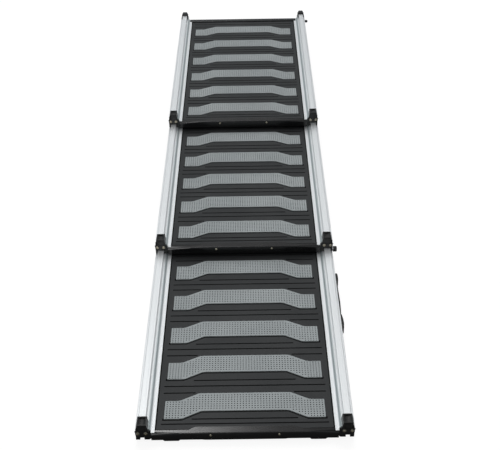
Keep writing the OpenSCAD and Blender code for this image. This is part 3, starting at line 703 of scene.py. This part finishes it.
# camera: place in millimetres, lens in millimetres, angles in degrees
cameraView = {
    "place": (17.0, -2001.9, 1391.0), "down": 37.649, "turn": -0.06, "roll": 0.867,
    "lens": 63.633, "sensor": 36,
}
eye = bpy.data.cameras.new("camera")
eye.lens, eye.sensor_width = cameraView["lens"], cameraView["sensor"]
camera = bpy.data.objects.new("camera", eye)
bpy.context.scene.collection.objects.link(camera)
turned = (
    Matrix.Rotation(math.radians(-cameraView["turn"]), 4, "Z")
    @ Matrix.Rotation(math.radians(90 - cameraView["down"]), 4, "X")
    @ Matrix.Rotation(math.radians(-cameraView["roll"]), 4, "Z")
)
camera.matrix_world = Matrix.Translation([c * mm for c in cameraView["place"]]) @ turned
bpy.context.scene.camera = camera

# floor, lamp, two mirrored boards and sky, in metres and degrees; across, along and up give where a tone
# begins and ends on that axis
studio = {
    "floorSize": 30, "floorGap": 0.0002, "floorColour": 0.15, "floorLift": 0.9, "floorMirror": 0.04,
    "sunPower": 1.7, "sunAngle": 40, "sunElevation": 48,
    "panelX": (-0.55, 0.5), "panelY": (-0.4, 0.25), "panelZ": 2.34, "panelBase": 0.45, "panelPower": 12,
    "panelAcross": (0.3, -0.45), "panelFall": 3.0, "panelAlong": (0.2, -0.3), "panelGain": (0.8, 1.8),
    "frontX": (-2.2, 0.1), "frontY": -3.6, "frontZ": (1.3, 2.6),
    "frontPower": 3.6, "frontAcross": (0.1, -0.5),
    "skySoft": (0.54, 0.55, 0.56), "softAlong": (-0.6, 0.6), "softAhead": (0.4, 1.4),
    "skyLow": (0.2, 0.24, 0.26), "skyHigh": (0.86, 0.87, 0.88), "skyUp": (0.2, 0.72),
    "skyAcross": (-0.05, 0.09), "skyRight": 0.66,
}


def emptyTree(owner):
    # the node tree of a floor, board or sky, without the nodes it starts with
    owner.use_nodes = True
    owner.node_tree.nodes.clear()
    return owner.node_tree


def placeSheet(name, corners, paint):
    mesh = bpy.data.meshes.new(name)
    mesh.from_pydata(corners, [], [(0, 1, 2, 3)])
    mesh.materials.append(paint)
    sheet = bpy.data.objects.new(name, mesh)
    bpy.context.scene.collection.objects.link(sheet)
    return sheet


def emission(tree, strength):
    return addNode(tree, "ShaderNodeEmission", Color=(1, 1, 1, 1), Strength=strength).outputs[0]


def makeFloor():
    # matt floor that takes shadows, lifted to white for the camera and faintly for mirrored light
    paint = bpy.data.materials.new("floorPaint")
    tree = emptyTree(paint)
    matt = addNode(tree, "ShaderNodeBsdfDiffuse", Color=(studio["floorColour"],) * 3 + (1,)).outputs[0]
    path = tree.nodes.new("ShaderNodeLightPath").outputs
    mirrored = product(tree, path["Is Glossy Ray"], studio["floorMirror"])
    seen = maths(tree, "ADD", path["Is Camera Ray"], mirrored, clamp=True)
    lift = emission(tree, product(tree, seen, studio["floorLift"]))
    both = addNode(tree, "ShaderNodeAddShader", i0=matt, i1=lift).outputs[0]
    tree.links.new(both, tree.nodes.new("ShaderNodeOutputMaterial").inputs["Surface"])
    r = studio["floorSize"] / 2
    floor = placeSheet("floor", [(-r, -r, 0), (r, -r, 0), (r, r, 0), (-r, r, 0)], paint)
    floor.location.z = cadBox[0].z - studio["floorGap"]


def makeLamp():
    lamp = bpy.data.lights.new("softLight", "SUN")
    lamp.energy, lamp.angle = studio["sunPower"], math.radians(studio["sunAngle"])
    placed = bpy.data.objects.new("softLight", lamp)
    bpy.context.scene.collection.objects.link(placed)
    placed.visible_glossy = False
    placed.rotation_euler.x = math.radians(studio["sunElevation"] - 90)


def placePanel(name, corners, power):
    # a soft bright board, seen only in mirrored light; power works out its strength from its own x and y
    glow = bpy.data.materials.new(name + "Glow")
    tree = emptyTree(glow)
    light = emission(tree, power(tree, objectAxes(tree)))
    tree.links.new(light, tree.nodes.new("ShaderNodeOutputMaterial").inputs["Surface"])
    panel = placeSheet(name, corners, glow)
    panel.visible_camera = panel.visible_diffuse = panel.visible_shadow = False


def overheadPower(tree, place):
    # strong at the left end, falling away to the right, brighter towards the low end
    across = maths(tree, "POWER", remap(tree, place[0], *studio["panelAcross"]), studio["panelFall"])
    across = product(tree, across, remap(tree, place[1], *studio["panelAlong"], *studio["panelGain"]))
    return maths(tree, "ADD", product(tree, across, studio["panelPower"]), studio["panelBase"])


def frontPower(tree, place):
    # dark at its right end, rising to full strength further left
    return remap(tree, place[0], *studio["frontAcross"], 0.0, studio["frontPower"])


def makeSky():
    # white to the camera; mirrored light sees a tone that rises with height and dims to the right; the rest
    # is soft and stronger from the high end
    sky = bpy.context.scene.world or bpy.data.worlds.new("sky")
    bpy.context.scene.world = sky
    tree = emptyTree(sky)
    direction = tree.nodes.new("ShaderNodeTexCoord").outputs["Generated"]
    axes = addNode(tree, "ShaderNodeSeparateXYZ", Vector=direction).outputs
    tone = mixColour(tree, remap(tree, axes[2], *studio["skyUp"]), studio["skyLow"], studio["skyHigh"])
    side = remap(tree, axes[0], *studio["skyAcross"], 1.0, studio["skyRight"])
    mirrored = addNode(tree, "ShaderNodeBackground", Color=tone, Strength=side).outputs[0]
    ahead = remap(tree, axes[1], *studio["softAlong"], *studio["softAhead"])
    soft = addNode(tree, "ShaderNodeBackground", Color=(*studio["skySoft"], 1), Strength=ahead).outputs[0]
    white = addNode(tree, "ShaderNodeBackground", Color=(1, 1, 1, 1), Strength=1.0).outputs[0]
    path = tree.nodes.new("ShaderNodeLightPath").outputs
    lit = addNode(tree, "ShaderNodeMixShader", Fac=path["Is Glossy Ray"], i1=soft, i2=mirrored).outputs[0]
    seen = addNode(tree, "ShaderNodeMixShader", Fac=path["Is Camera Ray"], i1=lit, i2=white).outputs[0]
    tree.links.new(seen, tree.nodes.new("ShaderNodeOutputWorld").inputs["Surface"])


makeFloor()
makeLamp()
(x0, x1), (y0, y1), z = studio["panelX"], studio["panelY"], studio["panelZ"]
placePanel("overheadPanel", [(x0, y0, z), (x0, y1, z), (x1, y1, z), (x1, y0, z)], overheadPower)
(x0, x1), y, (z0, z1) = studio["frontX"], studio["frontY"], studio["frontZ"]
placePanel("frontPanel", [(x0, y, z0), (x0, y, z1), (x1, y, z1), (x1, y, z0)], frontPower)
makeSky()
bpy.context.scene.view_settings.view_transform = "Standard"
print("studio ready")
